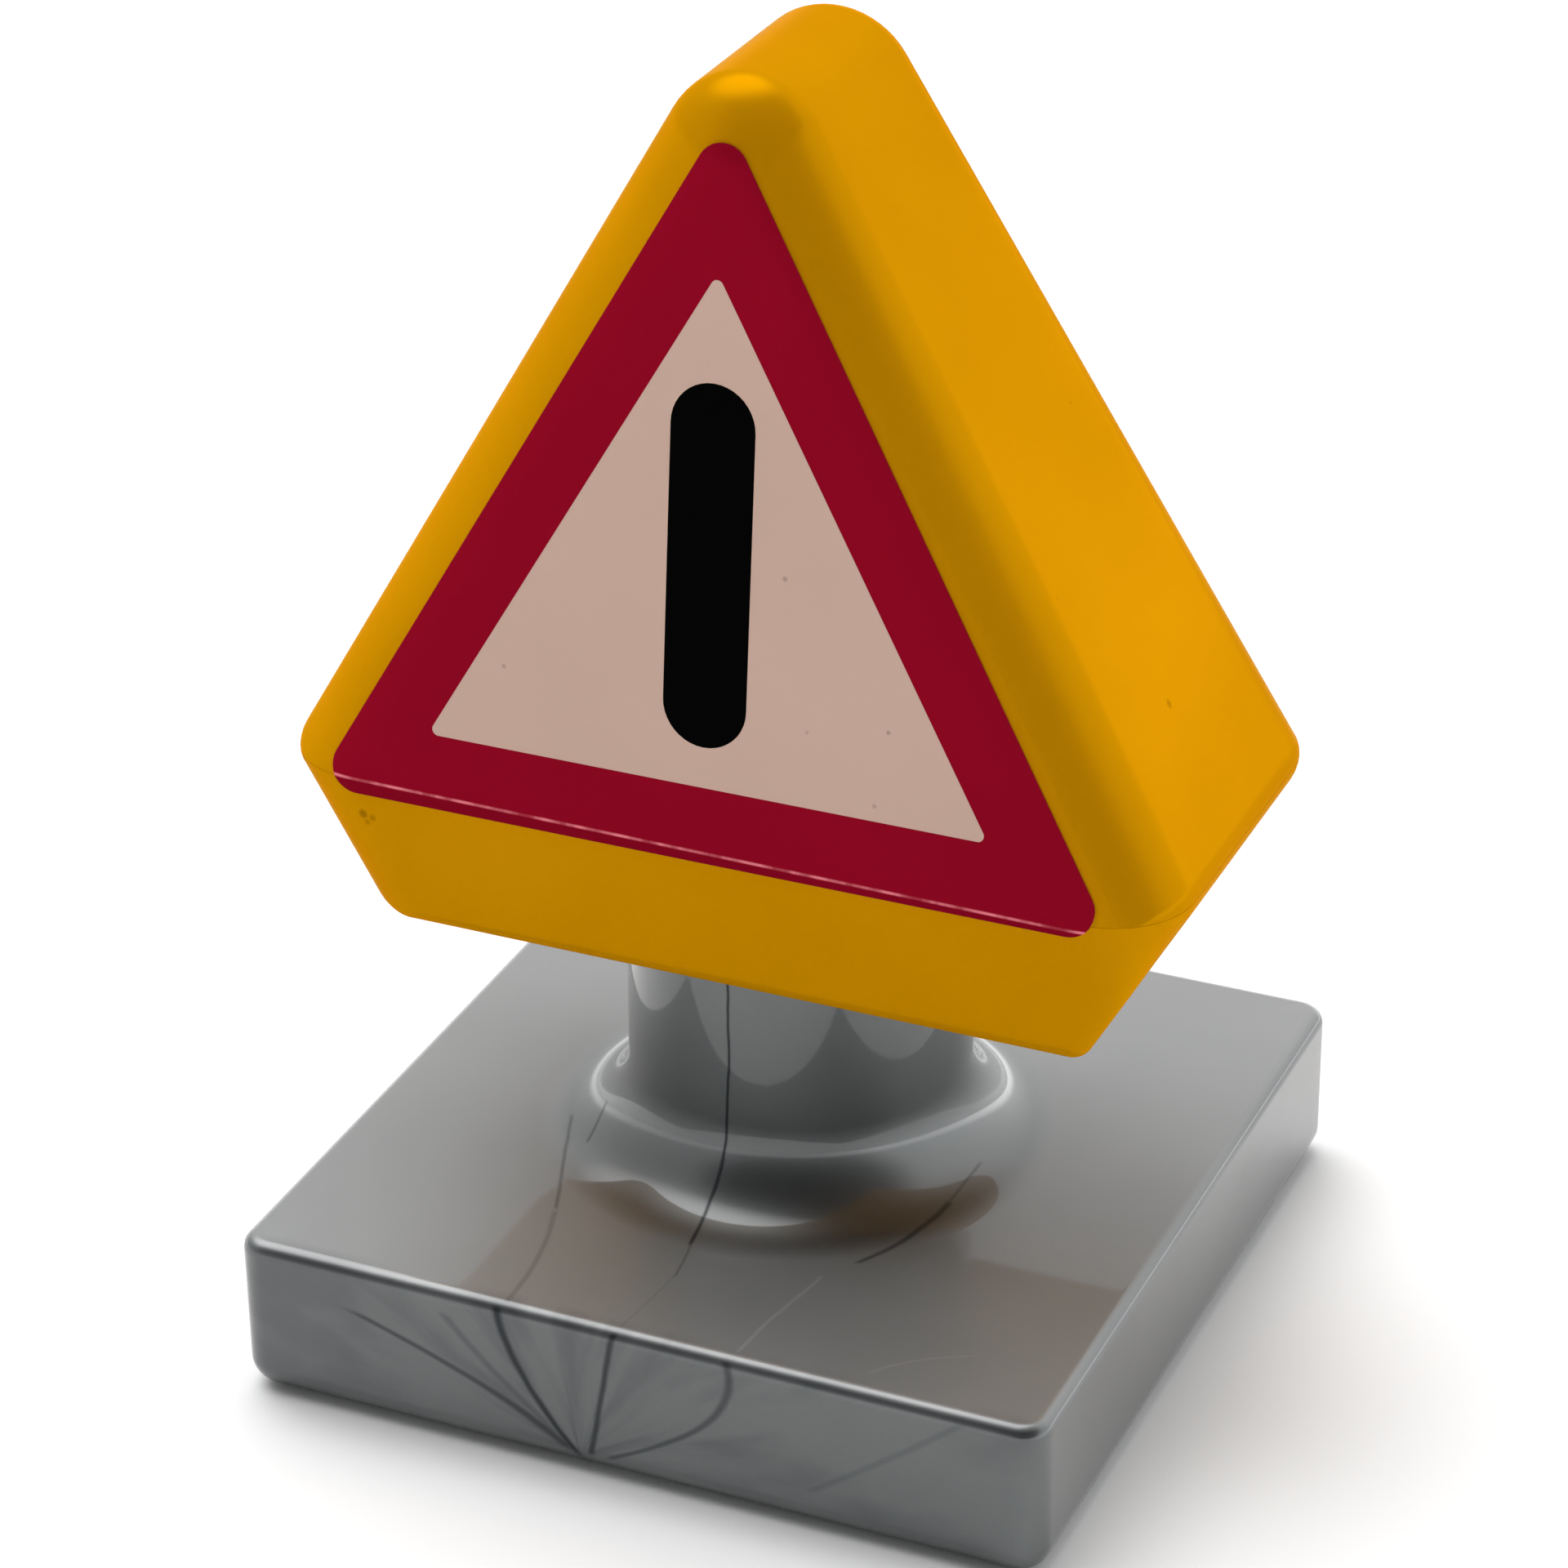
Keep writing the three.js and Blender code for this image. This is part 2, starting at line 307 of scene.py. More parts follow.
def head_corners():
    """Front view of the head in x and z, from the lower left, anticlockwise."""
    slope = math.tan(SIDE_ANGLE)
    bottom_half = HEAD_HALF_WIDTH - (SEAM_Z - HEAD_BOTTOM_Z) * slope
    apex_z = SEAM_Z + HEAD_HALF_WIDTH / slope
    return [
        (-bottom_half, HEAD_BOTTOM_Z, BOTTOM_CORNER_R),
        (bottom_half, HEAD_BOTTOM_Z, BOTTOM_CORNER_R),
        (HEAD_HALF_WIDTH, SEAM_Z, CORNER_R),
        (0, apex_z, APEX_R),
        (-HEAD_HALF_WIDTH, SEAM_Z, CORNER_R),
    ]


def head_steps(depth, wide_r, small_r):
    """Distances from the middle plane at which the outline is set, on both kinds of round edge."""
    wide = [z for _, z in arc(0, depth - wide_r, wide_r, 0, math.pi / 2, HEAD_EDGE_STEPS)]
    small_arc = arc(0, depth - small_r, small_r, SMALL_EDGE_START, SMALL_EDGE_END, SMALL_EDGE_STEPS)
    small = [z for _, z in small_arc]
    return sorted(wide + small)


def head_outline(distance, depth, wall, wide_r, small_r, right_r):
    """The head's outline at a distance from its middle plane, as (x, z) points."""
    side = wall + edge_inset(distance, depth, wide_r)
    bottom = wall + edge_inset(distance, depth, small_r)
    right_cut = wall + edge_inset(distance, depth, right_r)
    return rounded_outline(head_corners(), [bottom, right_cut, side, side, side], HEAD_CORNER_STEPS)


def subdivide_cut(outline):
    """Divides the lower right cut, the outline's second side, so that its edge can change along it."""
    last = 2 * (HEAD_CORNER_STEPS + 1)
    start = Vector(outline[last - 1])
    end = Vector(outline[last])
    extra = [tuple(start.lerp(end, i / CUT_STEPS)) for i in range(1, CUT_STEPS)]
    return outline[:last] + extra + outline[last:]


def fade_edge(wide, sharp):
    """Between two places of an outline point: the wide edge's at the seam, the sharp edge's below it."""
    share = min(max((SEAM_Z + LABEL_LOW - wide[1]) / EDGE_FADE, 0), 1)
    return tuple(Vector(wide).lerp(Vector(sharp), share * share * (3 - 2 * share)))


def head_body(name, wall, lean, keep, right_r=None):
    """The head, or a smaller copy inside its wall. keep maps a height to the kept side of the seam.
    right_r is the edge radius of the lower right cut where that fades from the wide one below the seam."""
    depth = HEAD_HALF_DEPTH - wall
    wide_r = FACE_EDGE_R - wall
    small_r = max(BOTTOM_EDGE_R - wall, SMALLEST_R)
    half = head_steps(depth, wide_r, small_r)
    rings = []
    for y in [*reversed(half), *(-distance for distance in half)]:
        outline = subdivide_cut(head_outline(abs(y), depth, wall, wide_r, small_r, wide_r))
        if right_r and y < 0:
            sharper = subdivide_cut(head_outline(abs(y), depth, wall, wide_r, small_r, right_r))
            outline = [fade_edge(wide, sharp) for wide, sharp in zip(outline, sharper)]
        ring = []
        for x, z in outline:
            height = keep(z)
            thinning = (height - SEAM_Z) * math.tan(lean)
            ring.append((x, y * (depth - thinning) / depth, height))
        rings.append(ring)
    return ring_mesh(name, rings)


def clean(piece):
    """Joins doubled points and removes faces without area."""
    made = bmesh.new()
    made.from_mesh(piece.data)
    bmesh.ops.remove_doubles(made, verts=made.verts, dist=DOUBLED)
    bmesh.ops.dissolve_degenerate(made, edges=made.edges, dist=SLIVER)
    bmesh.ops.recalc_face_normals(made, faces=made.faces)
    made.to_mesh(piece.data)
    made.free()
    return piece


def sign_hood():
    hood = clean(head_body("hood_shell", 0, FACE_LEAN, lambda z: max(z, SEAM_Z + SEAM_GAP)))
    inside = clean(head_body("inside", HEAD_WALL, FACE_LEAN, lambda z: max(z, SEAM_Z - HEAD_WALL)))
    boolean(hood, inside, "DIFFERENCE")
    return shade(hood)


def sign_tray():
    tray = clean(head_body("tray_shell", 0, 0, lambda z: min(z, SEAM_Z - SEAM_GAP), TRAY_RIGHT_EDGE_R))
    inside = clean(head_body("inside", HEAD_WALL, 0, lambda z: min(z, SEAM_Z + HEAD_WALL)))
    boolean(tray, inside, "DIFFERENCE")
    cup_r = CUP_R + CUP_WALL
    cup = turned("cup", [(cup_r, HEAD_BOTTOM_Z + HEAD_WALL / 2), (cup_r, CUP_TOP)])
    boolean(tray, cup, "UNION")
    post_hole = turned("post_hole", [(CUP_R, 0), (CUP_R, SHOULDER_Z + CLEARANCE)])
    boolean(tray, post_hole, "DIFFERENCE")
    pin_r = SPIGOT_R + CLEARANCE
    pin_hole = turned("pin_hole", [(pin_r, SHOULDER_Z), (pin_r, CUP_TOP + CLEARANCE)])
    boolean(tray, pin_hole, "DIFFERENCE")
    return shade(tray)


# ---------- label ----------

LABEL_CORNER_STEPS = 10


def face_point(x, up):
    """Where the film lies on the head's front, flat or bent round its side edges. up is from the seam."""
    fold = min(max((up + FOLD_HALF) / (2 * FOLD_HALF), 0), 1)
    back = FACE_LEAN * FOLD_HALF * fold * fold + math.sin(FACE_LEAN) * max(up - FOLD_HALF, 0)
    rise = up * math.cos(FACE_LEAN) if up > 0 else up
    inset = (HEAD_HALF_WIDTH - abs(x)) * math.cos(SIDE_ANGLE) - abs(rise) * math.sin(SIDE_ANGLE)
    above = rise - (HEAD_HALF_WIDTH / math.tan(SIDE_ANGLE) - APEX_R / math.sin(SIDE_ANGLE))
    if above > abs(x) * math.tan(SIDE_ANGLE):
        inset = APEX_R - math.hypot(x, above)
    round_part = FACE_EDGE_R - min(inset, FACE_EDGE_R)
    thinned = 1 - max(rise, 0) * math.tan(FACE_LEAN) / HEAD_HALF_DEPTH
    drop = thinned * (FACE_EDGE_R - math.sqrt(FACE_EDGE_R ** 2 - round_part ** 2))
    return Vector((x, -HEAD_HALF_DEPTH + back + drop, SEAM_Z + rise))


def on_face(x, up, out):
    """A point at a distance out from the head's front."""
    step = FOLD_HALF / 2
    across = face_point(x + step, up) - face_point(x - step, up)
    along = face_point(x, up + step) - face_point(x, up - step)
    return face_point(x, up) + across.cross(along).normalized() * out


def triangle(width, height, low, corner_r, apex_r):
    """A triangle standing on its lower edge, as (x, up) points."""
    corners = [(-width / 2, low, corner_r), (width / 2, low, corner_r), (0, low + height, apex_r)]
    return rounded_outline(corners, [0] * 3, LABEL_CORNER_STEPS)


# ---------- materials ----------


class Nodes:
    """Short names for the shader nodes that the materials below share."""

    def __init__(self, name):
        self.material = bpy.data.materials.new(name)
        self.material.use_nodes = True
        self.tree = self.material.node_tree
        self.shader = self.tree.nodes["Principled BSDF"]
        self.place = self.tree.nodes.new("ShaderNodeTexCoord").outputs["Object"]

    def set(self, socket, value):
        self.shader.inputs[socket].default_value = value

    def link(self, source, socket):
        self.tree.links.new(source, self.shader.inputs[socket])

    def fill(self, node, values):
        for socket, value in zip(node.inputs, values):
            if isinstance(value, bpy.types.NodeSocket):
                self.tree.links.new(value, socket)
            elif value is not None:
                socket.default_value = value
        return node.outputs[0]

    def maths(self, operation, *values):
        node = self.tree.nodes.new("ShaderNodeMath")
        node.operation = operation
        return self.fill(node, values)

    def axes(self, place=None):
        node = self.tree.nodes.new("ShaderNodeSeparateXYZ")
        self.tree.links.new(place or self.place, node.inputs[0])
        return node.outputs["X"], node.outputs["Y"], node.outputs["Z"]

    def reach(self, a, b):
        """Distance of the place (a, b) from the origin."""
        return self.maths("SQRT", self.maths("ADD", self.maths("POWER", a, 2), self.maths("POWER", b, 2)))

    def vector(self, x, y, z):
        return self.fill(self.tree.nodes.new("ShaderNodeCombineXYZ"), (x, y, z))

    def noise(self, size, detail=2.0, place=None):
        node = self.tree.nodes.new("ShaderNodeTexNoise")
        node.inputs["Scale"].default_value = 1 / size
        node.inputs["Detail"].default_value = detail
        self.tree.links.new(place or self.place, node.inputs["Vector"])
        return node.outputs["Fac"]

    def span(self, value, low, high, to_low=0.0, to_high=1.0, smooth=False):
        node = self.tree.nodes.new("ShaderNodeMapRange")
        node.interpolation_type = "SMOOTHSTEP" if smooth else "LINEAR"
        return self.fill(node, (value, low, high, to_low, to_high))

    def mix(self, share, first, second):
        node = self.tree.nodes.new("ShaderNodeMix")
        node.data_type = "RGBA"
        sockets = {"Factor": share, "A": first, "B": second}
        for socket in node.inputs:
            value = sockets.get(socket.name)
            if not socket.enabled or value is None:
                continue
            if isinstance(value, bpy.types.NodeSocket):
                self.tree.links.new(value, socket)
            else:
                socket.default_value = value
        return next(o for o in node.outputs if o.enabled)

    def bump(self, height, strength, distance):
        node = self.tree.nodes.new("ShaderNodeBump")
        node.inputs["Strength"].default_value = strength
        node.inputs["Distance"].default_value = distance
        self.tree.links.new(height, node.inputs["Height"])
        self.link(node.outputs["Normal"], "Normal")


def rgb(red, green, blue):
    return (red, green, blue, 1.0)


# Small dark marks on the faces, as (x, z, radius, strength) in millimetres. The side's are (y, z).
TRAY_MARKS = [(-17.0, 26.6, 0.3, 0.5), (-16.5, 26.5, 0.22, 0.35), (-16.8, 26.2, 0.2, 0.3)]
SIDE_MARKS = [(-1.2, 34.6, 0.25, 0.35), (3.5, 46, 0.12, 0.2), (-5.5, 41, 0.1, 0.2)]
FIELD_MARKS = [
    (-9.8, 35.2, 0.14, 0.35),
    (3.6, 41.6, 0.16, 0.4),
    (8.7, 35.5, 0.14, 0.45),
    (8.2, 32.0, 0.14, 0.35),
    (-14.2, 35.7, 0.12, 0.3),
    (4.9, 34.8, 0.12, 0.3),
]
FRONT_MARKS_DEPTH = (1, 1.5)  # behind the head's front, where the tray's marks fade out
SIDE_MARKS_X = (3.5, 4)  # where the side's marks fade in

# Flow lines in the base moulding, where two fronts of plastic met as it filled. Each passes through
# three (s, x) places in millimetres, where s runs up the plate's front, back over its top and up the
# post, and then has a half width and a darkness.
FLOW_LINES = [
    ((21, -0.28), (26, -0.12), (34, -0.1), 0.12, 1.0),
    ((15.8, -0.35), (18.5, -0.38), (22.5, -0.22), 0.17, 0.9),
    ((13.2, 0.1), (15, -0.15), (16.6, -0.4), 0.12, 0.45),
    ((8.6, -0.5), (11, -0.15), (13.8, 0.05), 0.08, 0.2),
    ((1.0, -1.9), (4.1, -1.3), (8.4, -0.6), 0.26, 0.85),
    ((17.4, 7.2), (19.6, 8.4), (24, 9.6), 0.22, 0.7),
    ((23.6, 9.55), (26.3, 9.8), (27.5, 9.9), 0.12, 0.4),
    ((21.8, -8.2), (23.7, -8.2), (25.4, -8.25), 0.16, 0.6),
    ((16.2, -7.3), (19.7, -8.6), (24.2, -10.2), 0.17, 0.55),
    ((8.4, -6.15), (12, -6.3), (16.4, -7.4), 0.22, 0.35),
    ((0.8, -2.3), (4, -4.8), (8.3, -6.5), 0.3, 0.95),
    ((1.0, -2.6), (3.4, -6.9), (6.1, -14.6), 0.28, 0.7),
    ((1.3, -2.7), (3.6, -5.6), (7.2, -9.4), 0.3, 0.35),
    ((1.0, -1.4), (4.4, 3.8), (8.3, 4.9), 0.26, 0.65),
    ((2.0, 8.7), (4.8, 12.5), (8.0, 16.5), 0.25, 0.25),
]
PALE_LINES = [
    ((8.8, 5.2), (12.3, 5.6), (16.2, 6.3), 0.16, 0.35),
    ((9.5, 11.2), (11.5, 12.9), (13, 15.5), 0.1, 0.2),
]
LINE_END = 0.4  # length over which a line fades in or out
LINE_CORE = 0.1  # share of a line's half width that is at full strength

# Smoky streaks on the plate's front, which fan out from the gate where the plastic came in
GATE_X = -2.4
GATE_Z = 1.0
STREAKS_PER_RADIAN = 3.2
STREAK_BEND = 0.1  # change along a streak, per millimetre

# Where the base moulding's surface changes, in millimetres
LINES_END_Y = (4.5, 5)  # no flow lines behind this
FRONT_FACE_DEPTH = (0.2, 1.2)  # no streaks behind this
PLATE_TOP_Z = (7.95, 8.15)
PLATE_TOP_R = (11, 12.6)  # out from the post, where the gloss of the flare gives way to the top's duller finish and lighter colour, which is painted light from above


def through(first, second, third):
    """Factors a, b and c of the curve x = a + b s + c s s through three (s, x) places."""
    (s0, x0), (s1, x1), (s2, x2) = first, second, third
    slope = (x1 - x0) / (s1 - s0)
    c = ((x2 - x0) / (s2 - s0) - slope) / (s2 - s1)
    b = slope - c * (s0 + s1)
    return x0 - b * s0 - c * s0 * s0, b, c


def drawn_lines(nodes, x, s, lines):
    """How strongly any of the lines covers a place, 0 to 1. x and s are in millimetres."""
    total = None
    for first, middle, last, half_width, strength in lines:
        a, b, c = through(first, middle, last)
        curve = nodes.maths("MULTIPLY_ADD", nodes.maths("MULTIPLY_ADD", s, c, b), s, a)
        off = nodes.maths("ABSOLUTE", nodes.maths("SUBTRACT", x, curve))
        reach = half_width * math.hypot(1, b + 2 * c * middle[0])
        line = nodes.span(off, LINE_CORE * reach, reach, strength, 0.0, smooth=True)
        start = nodes.span(s, first[0], first[0] + LINE_END, smooth=True)
        end = nodes.span(s, last[0] - LINE_END, last[0], 1.0, 0.0, smooth=True)
        line = nodes.maths("MULTIPLY", line, nodes.maths("MULTIPLY", start, end))
        total = line if total is None else nodes.maths("MAXIMUM", total, line)
    return total


def drawn_marks(nodes, a, b, marks):
    """How strongly small round marks cover a place, 0 to 1, each (a, b, radius, strength) in millimetres."""
    total = None
    for mark_a, mark_b, radius, strength in marks:
        off_a = nodes.maths("SUBTRACT", a, mark_a)
        off_b = nodes.maths("SUBTRACT", b, mark_b)
        square = nodes.maths("MULTIPLY_ADD", off_a, off_a, nodes.maths("MULTIPLY", off_b, off_b))
        mark = nodes.span(square, 0, radius * radius, strength, 0.0, smooth=True)
        total = mark if total is None else nodes.maths("MAXIMUM", total, mark)
    return total


def smoke(nodes, x, z):
    """Soft streaks that fan out from the gate on the plate's front, 0 to 1."""
    aside = nodes.maths("SUBTRACT", x, GATE_X)
    above = nodes.maths("SUBTRACT", z, GATE_Z)
    turn = nodes.maths("ARCTAN2", above, aside)
    around = nodes.maths("MULTIPLY", turn, STREAKS_PER_RADIAN)
    outwards = nodes.maths("MULTIPLY", nodes.reach(aside, above), STREAK_BEND)
    fan = nodes.noise(1.0, 3, place=nodes.vector(around, outwards, 0))
    return nodes.span(fan, 0.42, 0.66, smooth=True)


def pearl_grey():
    nodes = Nodes("pearl_grey_plastic")
    x, y, z = [nodes.maths("DIVIDE", axis, MM) for axis in nodes.axes()]
    along = nodes.maths("ADD", nodes.maths("ADD", z, y), BASE_HALF / MM)
    wobble = nodes.span(nodes.noise(3 * MM, 2), 0, 1, -0.15, 0.15)
    across = nodes.maths("ADD", x, wobble)
    front_half = nodes.span(y, *LINES_END_Y, 1.0, 0.0)
    dark = nodes.maths("MULTIPLY", drawn_lines(nodes, across, along, FLOW_LINES), front_half)
    pale = nodes.maths("MULTIPLY", drawn_lines(nodes, across, along, PALE_LINES), front_half)
    front_face = nodes.span(y, *(-BASE_HALF / MM + depth for depth in FRONT_FACE_DEPTH), 1.0, 0.0)
    streaks = nodes.maths("MULTIPLY", smoke(nodes, x, z), front_face)
    cloud = nodes.noise(9 * MM, 3)
    fine = nodes.noise(0.12 * MM, 1)
    grain = nodes.span(fine, 0.3, 0.7, -0.06, 0.06)
    tone = nodes.maths("ADD", nodes.span(cloud, 0.3, 0.7, 0.2, 0.8), grain)
    past_flare = nodes.span(nodes.reach(x, y), *PLATE_TOP_R, smooth=True)
    plate_top = nodes.maths("MULTIPLY", nodes.span(z, *PLATE_TOP_Z), past_flare)
    # The plate's top takes a lighter copy of the grey than the front, post and flare: painted light from
    # above, along with its duller finish.
    glossy = nodes.mix(tone, rgb(0.103, 0.11, 0.112), rgb(0.132, 0.14, 0.142))
    lit_duller_top = nodes.mix(tone, rgb(0.197, 0.205, 0.206), rgb(0.227, 0.235, 0.236))
    plain = nodes.mix(plate_top, glossy, lit_duller_top)
    smoky = nodes.mix(nodes.maths("MULTIPLY", streaks, 0.5), plain, rgb(0.045, 0.05, 0.056))
    lined = nodes.mix(dark, smoky, rgb(0.02, 0.024, 0.028))
    nodes.link(nodes.mix(pale, lined, rgb(0.4, 0.41, 0.42)), "Base Color")
    nodes.link(nodes.span(plate_top, 0, 1, 0.85, 0.38), "Metallic")
    nodes.set("Roughness", 0.4)
    nodes.set("Coat Roughness", 0.05)
    gloss = nodes.span(plate_top, 0, 1, 0.9, 0.65)
    nodes.link(nodes.maths("MULTIPLY", nodes.maths("MULTIPLY_ADD", dark, -0.8, 1.0), gloss), "Coat Weight")
    nodes.bump(nodes.noise(2.5 * MM, 2), 0.1, 0.05 * MM)
    return nodes.material


def yellow_plastic():
    nodes = Nodes("yellow_plastic")
    x, y, z = [nodes.maths("DIVIDE", axis, MM) for axis in nodes.axes()]
    cloud = nodes.noise(14 * MM, 2)
    plain = nodes.mix(nodes.span(cloud, 0.3, 0.7), rgb(0.52, 0.229, 0.0004), rgb(0.58, 0.257, 0.0008))
    front = nodes.span(y, *(-HEAD_HALF_DEPTH / MM + depth for depth in FRONT_MARKS_DEPTH), 1.0, 0.0)
    right = nodes.span(x, *SIDE_MARKS_X)
    on_tray = nodes.maths("MULTIPLY", drawn_marks(nodes, x, z, TRAY_MARKS), front)
    on_side = nodes.maths("MULTIPLY", drawn_marks(nodes, y, z, SIDE_MARKS), right)
    marks = nodes.maths("MAXIMUM", on_tray, on_side)
    nodes.link(nodes.mix(marks, plain, rgb(0.1, 0.04, 0.002)), "Base Color")
    nodes.set("Metallic", 0.18)
    nodes.set("Roughness", 0.24)
    nodes.set("Specular Tint", rgb(1.0, 0.45, 0.0))
    nodes.set("IOR", 1.01)
    nodes.bump(nodes.noise(3 * MM, 2), 0.12, 0.05 * MM)
    return nodes.material


def print_red():
    nodes = Nodes("label_red")
    x, _, z = nodes.axes()
    cloud = nodes.noise(11 * MM, 2)
    plain = nodes.mix(cloud, rgb(0.24, 0.0026, 0.0145), rgb(0.295, 0.0032, 0.0192))
    line = nodes.maths("MULTIPLY_ADD", x, FOLD_TILT, z)
    # The red darkens just below the seam: painted shade where the film turns down over the tray.
    shade_below_seam = nodes.span(line, SEAM_Z - FOLD_SHADE, SEAM_Z - FOLD_HIGHLIGHT_LINE, 0.3, 0.0, smooth=True)
    fold_shaded = nodes.mix(shade_below_seam, plain, rgb(0.1, 0.0008, 0.006))
    # A pale pink line just below the seam, broken up along it: a painted highlight on the fold.
    away = nodes.maths("ABSOLUTE", nodes.maths("SUBTRACT", line, SEAM_Z - FOLD_HIGHLIGHT_LINE))
    broken = nodes.noise(1.6 * MM, 4, place=nodes.vector(x, 0, 0))
    fold_highlight = nodes.maths("MULTIPLY", nodes.span(away, 0.03 * MM, 0.1 * MM, 1.0, 0.0, smooth=True),
                       nodes.span(broken, 0.38, 0.6, 0.15, 1.0, smooth=True))
    nodes.link(nodes.mix(fold_highlight, fold_shaded, rgb(0.8, 0.2, 0.24)), "Base Color")
    nodes.set("Metallic", 0.15)
    nodes.set("Roughness", 0.22)
    nodes.set("IOR", 1.02)
    return nodes.material


def print_white():
    nodes = Nodes("label_white")
    x, _, z = [nodes.maths("DIVIDE", axis, MM) for axis in nodes.axes()]
    plain = nodes.mix(nodes.noise(11 * MM, 2), rgb(0.58, 0.401, 0.325), rgb(0.645, 0.446, 0.361))
    marked = nodes.mix(drawn_marks(nodes, x, z, FIELD_MARKS), plain, rgb(0.12, 0.08, 0.07))
    nodes.link(marked, "Base Color")
    nodes.set("Roughness", 0.3)
    nodes.set("Specular IOR Level", 0.1)
    return nodes.material


def print_black():
    nodes = Nodes("label_black")
    cloud = nodes.noise(6 * MM, 2)
    nodes.link(nodes.mix(cloud, rgb(0.0003, 0.0003, 0.0003), rgb(0.0008, 0.0008, 0.0008)), "Base Color")
    nodes.set("Roughness", 0.35)
    nodes.set("Specular IOR Level", 0.01)
    return nodes.material


def plain_plastic(name, dark, light, roughness):
    nodes = Nodes(name)
    nodes.link(nodes.mix(nodes.noise(1.5 * MM, 3), dark, light), "Base Color")
    nodes.set("Roughness", roughness)
    nodes.bump(nodes.noise(0.25 * MM, 2), 0.25, 0.03 * MM)
    return nodes.material


# ---------- label pieces ----------

BAR_STEPS = 20
SEAM_FOLDS = (-1, -0.6, -0.2, 0.2, 0.6, 1)
SIDE_FOLDS = 7
SIDE_FOLD_STEP = 0.4 * MM
APEX_FOLDS = 6
APEX_FOLD_STEP = 0.5 * MM


def in_order(made):
    """A mesh's points and faces in an order set by their places, since the fill's own order varies."""
    verts = sorted(made.verts, key=lambda vert: tuple(vert.co))
    order = {vert: i for i, vert in enumerate(verts)}
    faces = []
    for face in made.faces:
        loop = [order[vert] for vert in face.verts]
        first = loop.index(min(loop))
        faces.append(loop[first:] + loop[:first])
    return [tuple(vert.co) for vert in verts], sorted(faces)


def film(name, outer, holes=(), folds=()):
    """A film on the head's front, cut to an outline with holes. folds are lines where it can bend,
    each a point and a direction across the line."""
    made = bmesh.new()
    edges = []
    for loop in [outer, *holes]:
        verts = [made.verts.new((x, up, 0)) for x, up in loop]
        for i, vert in enumerate(verts):
            edges.append(made.edges.new((vert, verts[(i + 1) % len(verts)])))
    bmesh.ops.triangle_fill(made, use_beauty=True, use_dissolve=False, edges=edges)
    for point, across in folds:
        parts = [*made.verts, *made.edges, *made.faces]
        bmesh.ops.bisect_plane(made, geom=parts, plane_co=(*point, 0), plane_no=(*across, 0))
    back = set(made.verts)
    bmesh.ops.extrude_face_region(made, geom=list(made.faces), use_keep_orig=True)
    for vert in made.verts:
        vert.co = on_face(vert.co.x, vert.co.y, LABEL_BACK if vert in back else LABEL_FRONT)
    bmesh.ops.recalc_face_normals(made, faces=made.faces)
    piece = new_object(name, *in_order(made))
    made.free()
    return shade(piece)


def bar_outline():
    low = arc(0, BAR_LOW + BAR_R, BAR_R, math.pi, 2 * math.pi, BAR_STEPS)
    high = arc(0, BAR_HIGH - BAR_R, BAR_R, 0, math.pi, BAR_STEPS)
    return low + high


def field_outline():
    height = FIELD_SIDE * math.cos(SIDE_ANGLE)
    return triangle(FIELD_SIDE, height, FIELD_RISE, FIELD_CORNER_R, FIELD_CORNER_R)


def label_border():
    outer = triangle(LABEL_WIDTH, LABEL_HEIGHT, LABEL_LOW, LABEL_CORNER_R, LABEL_APEX_R)
    folds = [((0, up * FOLD_HALF), (0, 1)) for up in SEAM_FOLDS]
    for step in range(SIDE_FOLDS):
        reach = LABEL_WIDTH / 2 - step * SIDE_FOLD_STEP
        for side in (-1, 1):
            folds.append(((side * reach, LABEL_LOW), (side * math.cos(SIDE_ANGLE), math.sin(SIDE_ANGLE))))
    for step in range(APEX_FOLDS):
        folds.append(((0, LABEL_HEIGHT - step * APEX_FOLD_STEP), (0, 1)))
    return film("label_border", outer, [field_outline()], folds)


def label_field():
    return film("label_field", field_outline(), [bar_outline()])


def label_bar():
    return film("label_bar", bar_outline())


# ---------- assembly ----------


def finish_piece(piece, body, nodes, material):
    piece.data.materials.clear()
    piece.data.materials.append(material)
    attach(piece, body)
    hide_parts(*nodes)


def dress(node, material):
    """Gives a carried-over CAD node its material."""
    mesh_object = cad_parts[node]
    mesh_object.data.materials.clear()
    mesh_object.data.materials.append(material)


yellow = yellow_plastic()
finish_piece(base_moulding(), "base", ["base_and_post"], pearl_grey())
finish_piece(sign_hood(), "head", ["sign_hood"], yellow)
finish_piece(sign_tray(), "head", ["sign_tray"], yellow)
finish_piece(label_border(), "head", ["front_label"], print_red())
finish_piece(label_field(), "head", ["front_label"], print_white())
finish_piece(label_bar(), "head", ["front_label"], print_black())
dress("base_cover", plain_plastic("cover_plastic", rgb(0.10, 0.104, 0.106), rgb(0.14, 0.145, 0.148), 0.45))
dress("retaining_ring", plain_plastic("ring_plastic", rgb(0.5, 0.48, 0.43), rgb(0.58, 0.56, 0.5), 0.5))

# ---------- floor, light and camera ----------

FLOOR_HALF = 3.0
CAMERA_AZIMUTH = math.radians(23.97)
CAMERA_ELEVATION = math.radians(28.03)
CAMERA_ROLL = math.radians(-0.74)
CAMERA_DISTANCE = 6.0355  # in base sides, along the view, as are the next two
CAMERA_ASIDE = 0.0241
CAMERA_RAISE = 0.58
LENS = 113.76
SENSOR = 36

